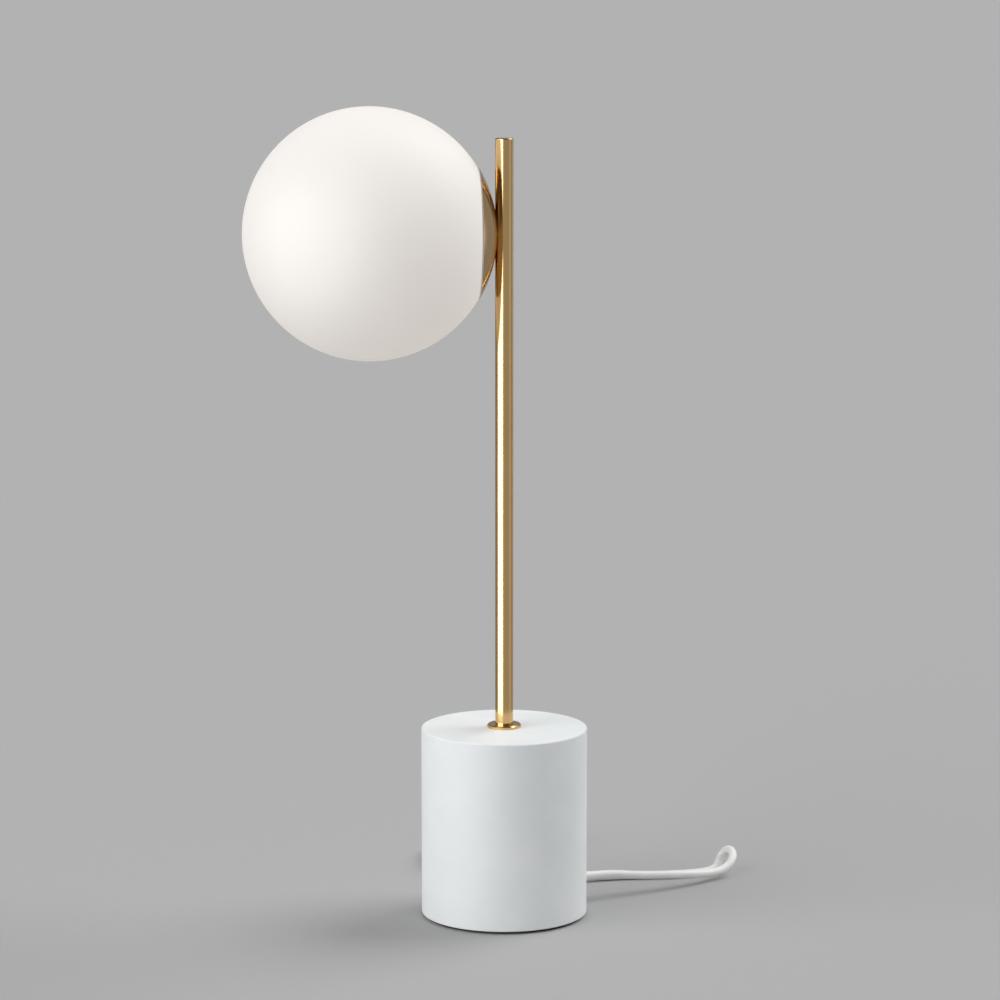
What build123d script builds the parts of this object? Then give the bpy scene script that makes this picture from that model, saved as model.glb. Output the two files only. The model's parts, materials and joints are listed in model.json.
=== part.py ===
from build123d import *
import math
import os

os.makedirs("parts", exist_ok=True)

# All sizes in millimetres. The floor is z = 0, the stem stands on the Z axis and the globe hangs towards -X.

# ---- stone base and its bottom ----
base_diameter = 120.0
base_top = 139.0
base_top_edge = 1.2
base_foot_edge = 0.8
foot_pad_thickness = 2.0
foot_pad_inset = 3.0
cavity_diameter = 84.0
cavity_top = 46.0
bottom_plate_diameter = 100.0
bottom_plate_thickness = 2.0
insert_diameter = 6.0
insert_length = 10.0
insert_circle_diameter = 92.0
plate_screw_diameter = 4.0
plate_screw_length = 11.0
plate_screw_head_diameter = 7.6

# ---- stem ----
stem_diameter = 13.0
stem_wall = 1.5
stem_top = 564.0
end_cap_height = 3.5
end_cap_edge = 0.8
end_cap_spigot_length = 10.0
collar_diameter = 24.5
collar_height = 2.5
collar_edge = 0.9
tie_tube_bore = 7.4
tie_tube_overlap = 25.0
tie_tube_end_height = 34.0
tie_washer_diameter = 32.0
tie_washer_thickness = 2.0
lock_washer_diameter = 18.0
lock_washer_thickness = 1.2
lock_washer_slit = 1.6
tie_nut_across_flats = 17.0
tie_nut_height = 6.0

# ---- head: distances along its axis are counted from the globe's centre towards the stem ----
head_height = 496.7
globe_diameter = 180.0
glass_wall = 3.0
mouth_diameter = 93.2
mouth_edge = 0.5
gasket_thickness = 0.8
gasket_width = 4.0
gasket_inset = 0.6
cap_overhang = 0.6
cap_wall = 1.0
cap_lip_thickness = 1.0
cap_lip_width = 1.2
stem_seat_depth = 1.3
block_radius = 16.0
block_face_depth = 5.6
nipple_diameter = 8.0
nipple_bore = 5.5
nipple_reach_into_stem = 1.7
nipple_reach_into_holder = 1.3
head_nut_across_flats = 13.0
head_nut_height = 4.0
gallery_plate_gap = 3.5
gallery_plate_thickness = 1.2
spring_count = 3
spring_width = 10.0
spring_thickness = 0.8
spring_bend_radius = 1.5
spring_seat_length = 9.5
spring_mouth_gap = 3.0
spring_depth = 6.0
spring_tip_depth = 3.8
spring_glass_gap = 0.3
rivet_diameter = 3.2
rivet_head_diameter = 5.6
rivet_head_height = 1.2
rivet_inset = 5.0

# ---- lampholder and screw-in lamp ----
holder_cap_radius = 14.0
holder_cap_height = 15.5
holder_cap_wall = 2.4
holder_cap_roof = 5.5
holder_skirt_radius = 13.0
holder_skirt_height = 32.0
holder_neck_height = 5.0
holder_neck_wall = 1.5
insulator_depth = 7.0
insulator_thickness = 4.0
holder_shell_wall = 0.5
holder_shell_length = 20.0
centre_contact_radius = 3.0
centre_contact_height = 1.2
centre_contact_pin_radius = 1.0
terminal_size = 4.0
terminal_spacing = 6.4
lamp_cap_radius = 6.9
lamp_cap_length = 18.0
lamp_cap_wall = 0.5
lamp_cap_gap = 0.4
lamp_button_radius = 2.6
lamp_button_height = 1.5
lamp_insulator_height = 2.0
lamp_neck_length = 3.0
lamp_body_spigot = 5.0
lamp_body_bore = 8.0
lamp_body_radius = 20.5
lamp_body_length = 24.0
lamp_body_wall = 2.2
lamp_diffuser_radius = 22.5
lamp_diffuser_wall = 1.2
light_board_thickness = 1.6
chip_size = 2.8
chip_height = 0.8
chip_count = 8
chip_circle_radius = 9.0

# ---- lead ----
lead_diameter = 6.0
exit_angle = 26.0
exit_height = 18.5
grommet_diameter = 10.0
grommet_tip_diameter = 8.0
grommet_projection = 8.0
grommet_flange_diameter = 14.0
grommet_flange_thickness = 2.0
lead_bend_radius = 15.0
lead_top_depth = 26.7
wire_diameter = 2.0
wire_spacing = 2.4
wire_bend_radius = 6.0
clamp_distance = 30.0
clamp_depth = 12.0
clamp_width = 26.0
clamp_bar_height = 5.5
clamp_gap = 0.4
clamp_screw_diameter = 3.0
clamp_screw_spacing = 17.0
clamp_screw_head_diameter = 5.6
clamp_screw_head_height = 2.2

# ---- in-line switch ----
switch_end_x = 50.0
switch_length = 54.0
switch_y = 82.5
switch_width = 24.0
switch_height = 16.0
switch_lead_height = 6.5
switch_wall = 1.8
switch_corner_radius = 5.0
switch_top_edge = 1.6
switch_foot_edge = 0.8
switch_lead_reach = 5.0
rocker_length = 15.4
rocker_width = 9.0
rocker_middle_rise = 0.5
rocker_end_rise = 1.7
rocker_depth = 2.0
rocker_end_gap = 0.8
rocker_side_gap = 0.4
rocker_tilt = 8.0
rocker_pivot_depth = 3.6
rocker_pin_diameter = 2.4
rocker_pin_length = 2.4
pivot_boss_thickness = 2.6
pivot_boss_length = 5.0
switch_screw_diameter = 2.6
switch_screw_head_diameter = 4.6
switch_screw_head_height = 1.6
switch_screw_length = 12.0
switch_screw_recess = 0.3
switch_post_diameter = 5.6
switch_post_x = 16.0
switch_post_y = 7.2
contact_length = 6.0
contact_width = 4.0
contact_height = 4.5
contact_spacing = 12.0

# ---- coil, tie and plug ----
coil_left_x = -41.0
coil_y = 142.0
coil_first_radius = 43.5
coil_pitch = 6.5
coil_layer_rise = 6.5
coil_half_turns_in = 6
coil_half_turns_out = 5
strap_thickness = 0.8
strap_width = 10.0
strap_gap = 0.2
strap_inner_slack = 0.6
plug_start_x = 2.0
plug_y = 207.5
plug_axis_height = 7.0
plug_tail_length = 20.0
plug_tail_root_diameter = 10.5
plug_tail_tip_diameter = 7.4
plug_body_length = 34.0
plug_body_width = 35.0
plug_body_thickness = 13.6
plug_back_width = 24.0
plug_edge_round = 2.4
pin_diameter = 4.0
pin_length = 19.0
pin_root = 8.0
pin_root_diameter = 3.6
pin_spacing = 18.6
pin_tip_round = 0.8

# ---- named clearances ----
slide_gap = 0.05
bolt_gap = 0.3
seat_gap = 0.1
plate_rim_gap = 0.3

# ---- sizes worked out from the above ----
base_radius = base_diameter / 2
cavity_radius = cavity_diameter / 2
plate_top = foot_pad_thickness + bottom_plate_thickness
stem_radius = stem_diameter / 2
stem_bore_radius = stem_radius - stem_wall
tie_tube_radius = stem_bore_radius - slide_gap
stem_shoulder = stem_top - end_cap_height
globe_radius = globe_diameter / 2
globe_inner_radius = globe_radius - glass_wall
cap_radius = globe_radius + cap_overhang
cap_inner_radius = cap_radius - cap_wall
mouth_distance = math.sqrt(globe_radius**2 - (mouth_diameter / 2) ** 2)
cap_rim_distance = mouth_distance + gasket_thickness
head_offset = cap_radius + stem_radius - stem_seat_depth
block_face_distance = cap_radius - block_face_depth
nipple_radius = nipple_diameter / 2
head_nut_distance = block_face_distance - head_nut_height
gallery_plate_distance = head_nut_distance - gallery_plate_thickness
gallery_nut_distance = gallery_plate_distance - head_nut_height
holder_cap_distance = gallery_nut_distance - holder_cap_height
holder_skirt_distance = holder_cap_distance - holder_skirt_height
nipple_end_distance = gallery_nut_distance - holder_cap_roof - nipple_reach_into_holder
leg_radius = math.sqrt(globe_inner_radius**2 - mouth_distance**2) - spring_mouth_gap
gallery_plate_radius = leg_radius - gallery_plate_gap
rivet_circle_radius = gallery_plate_radius - rivet_inset
neck_radius = holder_cap_radius - holder_cap_wall - slide_gap
insulator_radius = neck_radius - holder_neck_wall
insulator_distance = holder_cap_distance + holder_neck_height - insulator_depth - insulator_thickness
holder_shell_radius = lamp_cap_radius + lamp_cap_gap + holder_shell_wall
terminal_distance = insulator_distance + insulator_thickness
wire_end_distance = terminal_distance + terminal_size
lamp_tip_distance = insulator_distance - centre_contact_height
lamp_button_distance = lamp_tip_distance - lamp_button_height
lamp_insulator_distance = lamp_button_distance - lamp_insulator_height
lamp_cap_distance = lamp_insulator_distance - lamp_cap_length
lamp_rim_distance = lamp_cap_distance - lamp_body_length
lead_radius = lead_diameter / 2
lead_top = head_height - lead_top_depth
wire_radius = wire_diameter / 2
grommet_end = base_radius + grommet_projection
exit_direction = Vector(math.cos(math.radians(exit_angle)), math.sin(math.radians(exit_angle)), 0)
upwards = Vector(0, 0, 1)
globe_x = -head_offset
head_axis = Axis((globe_x, 0, head_height), (1, 0, 0))
on_floor = (Align.CENTER, Align.CENTER, Align.MIN)
switch_x = switch_end_x - switch_length / 2
switch_roof = switch_height - switch_wall
pivot_height = switch_height - rocker_pivot_depth
coil_base_height = lead_radius + strap_gap + strap_thickness


def head_plane(distance):
    """The plane across the head's axis, at a distance from the globe's centre, facing the stem."""
    return Plane(origin=(globe_x + distance, 0, head_height), x_dir=(0, 1, 0), z_dir=(1, 0, 0))


def head_profile(angle=0.0):
    """The half plane through the head's axis, y being the distance from it, turned from upright."""
    turn = math.radians(angle)
    return Plane(origin=head_axis.position, x_dir=(1, 0, 0), z_dir=(0, -math.cos(turn), math.sin(turn)))


def exit_plane(distance):
    """The plane across the lead's way out of the base, at a distance from the base's axis."""
    return Plane(origin=exit_direction * distance + upwards * exit_height, z_dir=exit_direction)


def exit_upright(height):
    """A level plane at a height, with its x along the lead's way out of the base."""
    return Plane(origin=(0, 0, height), x_dir=exit_direction, z_dir=(0, 0, 1))


def reach(radius, distance):
    """How far a sphere about the globe's centre is from the head's axis, at a distance along it."""
    return math.sqrt(radius**2 - distance**2)


def sphere_angle(radius, distance):
    """The angle at the globe's centre between the head's axis and a sphere's circle."""
    return math.degrees(math.acos(distance / radius))


def write(piece, label):
    piece.part.label = label
    export_step(piece.part, "parts/" + label + ".step")


def bend_radii(points):
    """Each bend of a lead is as wide as its two runs allow."""
    radii = []
    for before, corner, after in zip(points, points[1:], points[2:]):
        run_in = Vector(corner) - Vector(before)
        run_out = Vector(after) - Vector(corner)
        half_turn = math.radians(run_in.get_angle(run_out)) / 2
        radii.append(0.45 * min(run_in.length, run_out.length) / math.tan(half_turn))
    return radii


def tell_volume(piece, label, route_length):
    tube_volume = math.pi * lead_radius**2 * route_length
    share = piece.part.volume / tube_volume
    print(label, "length", round(route_length, 1), "volume over section times length", round(share, 5))


# ======== stone base and what closes it ========
with BuildPart() as stone_base:
    with BuildSketch(Plane.XY.offset(foot_pad_thickness)):
        Circle(base_radius)
    extrude(amount=base_top - foot_pad_thickness)
    fillet(stone_base.edges().group_by(Axis.Z)[-1], base_top_edge)
    fillet(stone_base.edges().group_by(Axis.Z)[0], base_foot_edge)
    with BuildSketch(Plane.XY.offset(foot_pad_thickness)):
        Circle(bottom_plate_diameter / 2 + plate_rim_gap)
    extrude(amount=bottom_plate_thickness, mode=Mode.SUBTRACT)
    with BuildSketch(Plane.XY.offset(plate_top)):
        Circle(cavity_radius)
    extrude(amount=cavity_top - plate_top, mode=Mode.SUBTRACT)
    with BuildSketch(Plane.XY.offset(cavity_top)):
        Circle(tie_tube_radius + bolt_gap)
    extrude(amount=base_top - cavity_top, mode=Mode.SUBTRACT)
    with BuildSketch(exit_upright(plate_top)):
        with PolarLocations(insert_circle_diameter / 2, 3, start_angle=60):
            Circle(insert_diameter / 2 + slide_gap)
    extrude(amount=insert_length, mode=Mode.SUBTRACT)
    with BuildSketch(exit_plane(cavity_radius / 2)):
        Circle(grommet_diameter / 2 + slide_gap)
    extrude(amount=base_radius, mode=Mode.SUBTRACT)
write(stone_base, "stone_base")

with BuildPart() as foot_pad:
    with BuildSketch():
        Circle(base_radius - foot_pad_inset)
    extrude(amount=foot_pad_thickness)
write(foot_pad, "foot_pad")

with BuildPart() as bottom_plate:
    with BuildSketch(Plane.XY.offset(foot_pad_thickness)):
        Circle(bottom_plate_diameter / 2)
    extrude(amount=bottom_plate_thickness)
    with Locations(exit_upright(plate_top)):
        with PolarLocations(insert_circle_diameter / 2, 3, start_angle=60):
            Hole(plate_screw_diameter / 2 + seat_gap)
    chamfer_size = (plate_screw_head_diameter - plate_screw_diameter) / 2
    lower_circles = bottom_plate.edges().filter_by(GeomType.CIRCLE).group_by(Axis.Z)[0]
    screw_rims = lower_circles.sort_by(SortBy.RADIUS)[:-1]
    chamfer(screw_rims, chamfer_size)
    with BuildSketch(exit_upright(foot_pad_thickness)):
        with Locations((clamp_distance, 0)):
            with GridLocations(0, clamp_screw_spacing, 1, 2):
                Circle(clamp_screw_diameter / 2 + slide_gap)
    extrude(amount=bottom_plate_thickness, mode=Mode.SUBTRACT)
write(bottom_plate, "bottom_plate")

with BuildPart() as threaded_inserts:
    with BuildSketch(exit_upright(plate_top)):
        with PolarLocations(insert_circle_diameter / 2, 3, start_angle=60):
            Circle(insert_diameter / 2)
            Circle(plate_screw_diameter / 2 + slide_gap, mode=Mode.SUBTRACT)
    extrude(amount=insert_length)
write(threaded_inserts, "threaded_inserts")

with BuildPart() as plate_screws:
    with Locations(exit_upright(foot_pad_thickness)):
        with PolarLocations(insert_circle_diameter / 2, 3, start_angle=60):
            Cylinder(plate_screw_diameter / 2, plate_screw_length, align=on_floor)
            Cone(
                plate_screw_head_diameter / 2,
                plate_screw_diameter / 2,
                chamfer_size,
                align=on_floor,
            )
write(plate_screws, "plate_screws")

# ======== stem, and the threaded tube that ties it to the base ========
with BuildPart() as stem_tube:
    with BuildSketch(Plane.XY.offset(base_top)):
        Circle(stem_radius)
        Circle(stem_bore_radius, mode=Mode.SUBTRACT)
    extrude(amount=stem_shoulder - base_top)
    with BuildSketch(Plane(origin=(0, 0, head_height), z_dir=(-1, 0, 0))):
        Circle(nipple_radius + slide_gap)
    extrude(amount=stem_diameter, mode=Mode.SUBTRACT)
write(stem_tube, "stem_tube")

with BuildPart() as stem_end_cap:
    with BuildSketch(Plane.XY.offset(stem_shoulder)):
        Circle(stem_radius)
    extrude(amount=end_cap_height)
    fillet(stem_end_cap.edges().group_by(Axis.Z)[-1], end_cap_edge)
    with BuildSketch(Plane.XY.offset(stem_shoulder)):
        Circle(stem_bore_radius - slide_gap)
    extrude(amount=-end_cap_spigot_length)
write(stem_end_cap, "stem_end_cap")

with BuildPart() as stem_collar:
    with BuildSketch(Plane.XY.offset(base_top)):
        Circle(collar_diameter / 2)
        Circle(stem_radius + slide_gap, mode=Mode.SUBTRACT)
    extrude(amount=collar_height)
    chamfer(stem_collar.edges().group_by(Axis.Z)[-1].sort_by(SortBy.RADIUS)[-1], collar_edge)
write(stem_collar, "stem_collar")

with BuildPart() as tie_tube:
    with BuildSketch(Plane.XY.offset(tie_tube_end_height)):
        Circle(tie_tube_radius)
        Circle(tie_tube_bore / 2, mode=Mode.SUBTRACT)
    extrude(amount=base_top + tie_tube_overlap - tie_tube_end_height)
write(tie_tube, "tie_tube")

with BuildPart() as tie_washer:
    with BuildSketch(Plane.XY.offset(cavity_top)):
        Circle(tie_washer_diameter / 2)
        Circle(tie_tube_radius + bolt_gap, mode=Mode.SUBTRACT)
    extrude(amount=-tie_washer_thickness)
write(tie_washer, "tie_washer")

lock_washer_top = cavity_top - tie_washer_thickness
with BuildPart() as lock_washer:
    with BuildSketch(Plane.XY.offset(lock_washer_top)):
        Circle(lock_washer_diameter / 2)
        Circle(tie_tube_radius + bolt_gap, mode=Mode.SUBTRACT)
        Rectangle(
            lock_washer_diameter, lock_washer_slit, align=(Align.MIN, Align.CENTER), mode=Mode.SUBTRACT
        )
    extrude(amount=-lock_washer_thickness)
write(lock_washer, "lock_washer")

with BuildPart() as tie_nut:
    with BuildSketch(Plane.XY.offset(lock_washer_top - lock_washer_thickness)):
        RegularPolygon(tie_nut_across_flats / 2, 6, major_radius=False)
        Circle(tie_tube_radius + slide_gap, mode=Mode.SUBTRACT)
    extrude(amount=-tie_nut_height)
write(tie_nut, "tie_nut")

# ======== head: what carries the globe on the stem ========
with BuildPart() as saddle_block:
    with BuildSketch(head_profile()):
        with BuildLine():
            block_sphere = cap_inner_radius - slide_gap
            block_corner = (reach(block_sphere, block_radius), block_radius)
            face_corner = (block_face_distance, block_radius)
            Polyline((block_sphere, 0), (block_face_distance, 0), face_corner, block_corner)
            CenterArc((0, 0), block_sphere, 0, sphere_angle(block_sphere, block_corner[0]))
        make_face()
    revolve(axis=head_axis)
    with Locations((0, 0, head_height)):
        Cylinder(stem_radius + slide_gap, 3 * block_radius, mode=Mode.SUBTRACT)
    with BuildSketch(head_plane(block_face_distance)):
        Circle(nipple_radius + slide_gap)
    extrude(amount=cap_wall + block_radius, mode=Mode.SUBTRACT)
write(saddle_block, "saddle_block")

with BuildPart() as brass_cap:
    with BuildSketch(head_profile()):
        with BuildLine():
            lip_distance = cap_rim_distance + cap_lip_thickness
            inner_start = (lip_distance, reach(cap_inner_radius, lip_distance))
            CenterArc((0, 0), cap_radius, 0, sphere_angle(cap_radius, cap_rim_distance))
            Polyline(
                (cap_rim_distance, reach(cap_radius, cap_rim_distance)),
                (cap_rim_distance, inner_start[1] - cap_lip_width),
                (lip_distance, inner_start[1] - cap_lip_width),
                inner_start,
            )
            CenterArc((0, 0), cap_inner_radius, 0, sphere_angle(cap_inner_radius, lip_distance))
            Line((cap_inner_radius, 0), (cap_radius, 0))
        make_face()
    revolve(axis=head_axis)
    with Locations((0, 0, head_height)):
        Cylinder(stem_radius + seat_gap, 3 * block_radius, mode=Mode.SUBTRACT)
    with BuildSketch(head_plane(block_face_distance)):
        Circle(nipple_radius + seat_gap)
    extrude(amount=cap_wall + block_radius, mode=Mode.SUBTRACT)
write(brass_cap, "brass_cap")

nipple_end_x = globe_x + nipple_end_distance
nipple_start_x = nipple_reach_into_stem - stem_bore_radius
with BuildPart() as side_nipple:
    with BuildSketch(head_plane(nipple_end_distance)):
        Circle(nipple_radius)
        Circle(nipple_bore / 2, mode=Mode.SUBTRACT)
    extrude(amount=nipple_start_x - nipple_end_x)
write(side_nipple, "side_nipple")

for nut_label, nut_distance in (("head_nut", head_nut_distance), ("gallery_nut", gallery_nut_distance)):
    with BuildPart() as nipple_nut:
        with BuildSketch(head_plane(nut_distance)):
            RegularPolygon(head_nut_across_flats / 2, 6, major_radius=False)
            Circle(nipple_radius + slide_gap, mode=Mode.SUBTRACT)
        extrude(amount=head_nut_height)
    write(nipple_nut, nut_label)

with BuildPart() as gallery_plate:
    with BuildSketch(head_plane(gallery_plate_distance)):
        Circle(gallery_plate_radius)
        Circle(nipple_radius + slide_gap, mode=Mode.SUBTRACT)
        with PolarLocations(rivet_circle_radius, spring_count, start_angle=90):
            Circle(rivet_diameter / 2 + slide_gap, mode=Mode.SUBTRACT)
    extrude(amount=gallery_plate_thickness)
write(gallery_plate, "gallery_plate")

with BuildPart() as spring_clips:
    leaf_distance = gallery_plate_distance - spring_thickness / 2
    tip_distance = mouth_distance - spring_tip_depth
    tip_sphere = globe_inner_radius - spring_glass_gap - spring_thickness / 2
    for number in range(spring_count):
        with BuildSketch(head_profile(number * 360 / spring_count)):
            with BuildLine():
                FilletPolyline(
                    (leaf_distance, gallery_plate_radius - spring_seat_length),
                    (leaf_distance, leg_radius),
                    (mouth_distance - spring_depth, leg_radius),
                    (tip_distance, reach(tip_sphere, tip_distance)),
                    radius=spring_bend_radius,
                )
            trace(line_width=spring_thickness)
        extrude(amount=spring_width / 2, both=True)
    with BuildSketch(head_plane(gallery_plate_distance)):
        with PolarLocations(rivet_circle_radius, spring_count, start_angle=90):
            Circle(rivet_diameter / 2 + slide_gap)
    extrude(amount=-spring_thickness, mode=Mode.SUBTRACT)
write(spring_clips, "spring_clips")

with BuildPart() as clip_rivets:
    for head_side, head_direction in (
        (gallery_plate_distance - spring_thickness, -1),
        (head_nut_distance, 1),
    ):
        with BuildSketch(head_plane(head_side)):
            with PolarLocations(rivet_circle_radius, spring_count, start_angle=90):
                Circle(rivet_head_diameter / 2)
        extrude(amount=head_direction * rivet_head_height)
    with BuildSketch(head_plane(gallery_plate_distance - spring_thickness)):
        with PolarLocations(rivet_circle_radius, spring_count, start_angle=90):
            Circle(rivet_diameter / 2)
    extrude(amount=spring_thickness + gallery_plate_thickness)
write(clip_rivets, "clip_rivets")

gasket_outer_radius = reach(globe_radius, mouth_distance) - gasket_inset
with BuildPart() as mouth_gasket:
    with BuildSketch(head_plane(mouth_distance)):
        Circle(gasket_outer_radius)
        Circle(gasket_outer_radius - gasket_width, mode=Mode.SUBTRACT)
    extrude(amount=gasket_thickness)
write(mouth_gasket, "mouth_gasket")

with BuildPart() as glass_globe:
    with BuildSketch(head_profile()):
        with BuildLine():
            for radius in (globe_radius, globe_inner_radius):
                mouth_angle = sphere_angle(radius, mouth_distance)
                CenterArc((0, 0), radius, mouth_angle, 180 - mouth_angle)
            mouth_inner_radius = reach(globe_inner_radius, mouth_distance)
            Line((mouth_distance, mouth_diameter / 2), (mouth_distance, mouth_inner_radius))
            Line((-globe_radius, 0), (-globe_inner_radius, 0))
        make_face()
    revolve(axis=head_axis)
    mouth_edges = glass_globe.edges().filter_by(GeomType.CIRCLE).group_by(Axis.X)[-1]
    fillet(mouth_edges.sort_by(SortBy.RADIUS)[-1], mouth_edge)
write(glass_globe, "glass_globe")

# ======== lampholder ========
with BuildPart() as holder_cap:
    with BuildSketch(head_plane(holder_cap_distance)):
        Circle(holder_cap_radius)
    extrude(amount=holder_cap_height)
    fillet(holder_cap.edges().group_by(Axis.X)[-1], holder_cap_wall / 2)
    with BuildSketch(head_plane(holder_cap_distance)):
        Circle(holder_cap_radius - holder_cap_wall)
    extrude(amount=holder_cap_height - holder_cap_roof, mode=Mode.SUBTRACT)
    with BuildSketch(head_plane(holder_cap_distance)):
        Circle(nipple_radius + slide_gap)
    extrude(amount=holder_cap_height, mode=Mode.SUBTRACT)
write(holder_cap, "holder_cap")

with BuildPart() as holder_skirt:
    with BuildSketch(head_plane(holder_skirt_distance)):
        Circle(holder_skirt_radius)
    extrude(amount=holder_skirt_height)
    with BuildSketch(head_plane(holder_cap_distance)):
        Circle(neck_radius)
    extrude(amount=holder_neck_height)
    with BuildSketch(head_plane(holder_skirt_distance)):
        Circle(holder_shell_radius + slide_gap)
    extrude(amount=insulator_distance - holder_skirt_distance, mode=Mode.SUBTRACT)
    with BuildSketch(head_plane(insulator_distance)):
        Circle(insulator_radius + slide_gap)
    extrude(amount=insulator_depth + insulator_thickness, mode=Mode.SUBTRACT)
write(holder_skirt, "holder_skirt")

with BuildPart() as holder_insulator:
    with BuildSketch(head_plane(insulator_distance)):
        Circle(insulator_radius)
        Circle(centre_contact_pin_radius + slide_gap, mode=Mode.SUBTRACT)
    extrude(amount=insulator_thickness)
write(holder_insulator, "holder_insulator")

with BuildPart() as holder_shell:
    with BuildSketch(head_plane(insulator_distance)):
        Circle(holder_shell_radius)
        Circle(holder_shell_radius - holder_shell_wall, mode=Mode.SUBTRACT)
    extrude(amount=-holder_shell_length)
write(holder_shell, "holder_shell")

with BuildPart() as centre_contact:
    with BuildSketch(head_plane(lamp_tip_distance)):
        Circle(centre_contact_radius)
    extrude(amount=centre_contact_height)
    with BuildSketch(head_plane(insulator_distance)):
        Circle(centre_contact_pin_radius)
    extrude(amount=insulator_thickness)
write(centre_contact, "centre_contact")

with BuildPart() as holder_terminals:
    with BuildSketch(head_plane(terminal_distance)):
        with GridLocations(terminal_spacing, 0, 2, 1):
            Rectangle(terminal_size, terminal_size)
    extrude(amount=terminal_size)
write(holder_terminals, "holder_terminals")

# ======== screw-in lamp ========
with BuildPart() as lamp_button:
    with BuildSketch(head_plane(lamp_button_distance)):
        Circle(lamp_button_radius)
    extrude(amount=lamp_button_height)
write(lamp_button, "lamp_button")

with BuildPart() as lamp_insulator:
    with BuildSketch(head_plane(lamp_insulator_distance)):
        Circle(lamp_cap_radius)
    with BuildSketch(head_plane(lamp_button_distance)):
        Circle(lamp_button_radius)
    loft()
write(lamp_insulator, "lamp_insulator")

with BuildPart() as lamp_cap:
    with BuildSketch(head_plane(lamp_cap_distance)):
        Circle(lamp_cap_radius)
        Circle(lamp_cap_radius - lamp_cap_wall, mode=Mode.SUBTRACT)
    extrude(amount=lamp_cap_length)
write(lamp_cap, "lamp_cap")

spigot_distance = lamp_cap_distance + lamp_body_spigot
spigot_radius = lamp_cap_radius - lamp_cap_wall - slide_gap
shoulder_distance = lamp_cap_distance - lamp_neck_length
board_seat_distance = lamp_rim_distance + light_board_thickness
board_seat_radius = lamp_body_radius - lamp_body_wall / 2
with BuildPart() as lamp_body:
    with BuildSketch(head_profile()):
        with BuildLine():
            Polyline(
                (spigot_distance, lamp_body_bore / 2),
                (spigot_distance, spigot_radius),
                (lamp_cap_distance, spigot_radius),
                (lamp_cap_distance, lamp_cap_radius),
                (shoulder_distance, lamp_cap_radius),
                (lamp_rim_distance, lamp_body_radius),
                (lamp_rim_distance, board_seat_radius),
                (board_seat_distance, board_seat_radius),
                (board_seat_distance, board_seat_radius - lamp_body_wall),
                (shoulder_distance, lamp_body_bore / 2),
                close=True,
            )
        make_face()
    revolve(axis=head_axis)
write(lamp_body, "lamp_body")

with BuildPart() as light_board:
    with BuildSketch(head_plane(lamp_rim_distance)):
        Circle(board_seat_radius - seat_gap)
    extrude(amount=light_board_thickness)
write(light_board, "light_board")

with BuildPart() as light_chips:
    with BuildSketch(head_plane(lamp_rim_distance)):
        with PolarLocations(chip_circle_radius, chip_count):
            Rectangle(chip_size, chip_size)
    extrude(amount=-chip_height)
write(light_chips, "light_chips")

diffuser_centre = lamp_rim_distance - math.sqrt(lamp_diffuser_radius**2 - lamp_body_radius**2)
diffuser_inner_radius = lamp_diffuser_radius - lamp_diffuser_wall
with BuildPart() as lamp_diffuser:
    with Locations((globe_x + diffuser_centre, 0, head_height)):
        Sphere(lamp_diffuser_radius)
        Sphere(diffuser_inner_radius, mode=Mode.SUBTRACT)
    split(bisect_by=head_plane(lamp_rim_distance), keep=Keep.BOTTOM)
write(lamp_diffuser, "lamp_diffuser")

# ======== wires and the part of the lead inside the lamp ========
with BuildPart() as holder_wires:
    wire_y = wire_spacing / 2
    wire_end = (globe_x + wire_end_distance, wire_y, head_height)
    with BuildLine():
        FilletPolyline((0, wire_y, lead_top), (0, wire_y, head_height), wire_end, radius=wire_bend_radius)
    with BuildSketch(Plane(origin=(0, wire_y, lead_top), z_dir=(0, 0, 1))):
        Circle(wire_radius)
    sweep()
    mirror(about=Plane.XZ)
write(holder_wires, "holder_wires")

inner_points = [exit_direction * grommet_end + upwards * exit_height, (0, 0, exit_height), (0, 0, lead_top)]
with BuildPart() as lead_inner:
    with BuildLine() as inner_route:
        FilletPolyline(*inner_points, radius=lead_bend_radius)
    with BuildSketch(Plane(origin=inner_route.line @ 0, z_dir=inner_route.line % 0)):
        Circle(lead_radius)
    sweep()
write(lead_inner, "lead_inner")
tell_volume(lead_inner, "lead_inner", inner_route.wire().length)

# ======== grommet and clamp where the lead enters the base ========
flange_face = math.sqrt(cavity_radius**2 - (grommet_flange_diameter / 2) ** 2) - slide_gap
with BuildPart() as lead_grommet:
    with BuildSketch(exit_plane(flange_face)):
        Circle(grommet_flange_diameter / 2)
    extrude(amount=-grommet_flange_thickness)
    with BuildSketch(exit_plane(flange_face)):
        Circle(grommet_diameter / 2)
    extrude(amount=base_radius - flange_face)
    with BuildSketch(exit_plane(base_radius)):
        Circle(grommet_diameter / 2)
    with BuildSketch(exit_plane(grommet_end)):
        Circle(grommet_tip_diameter / 2)
    loft()
    with BuildSketch(exit_plane(flange_face - grommet_flange_thickness)):
        Circle(lead_radius + slide_gap)
    extrude(amount=grommet_end, mode=Mode.SUBTRACT)
write(lead_grommet, "lead_grommet")

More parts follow.
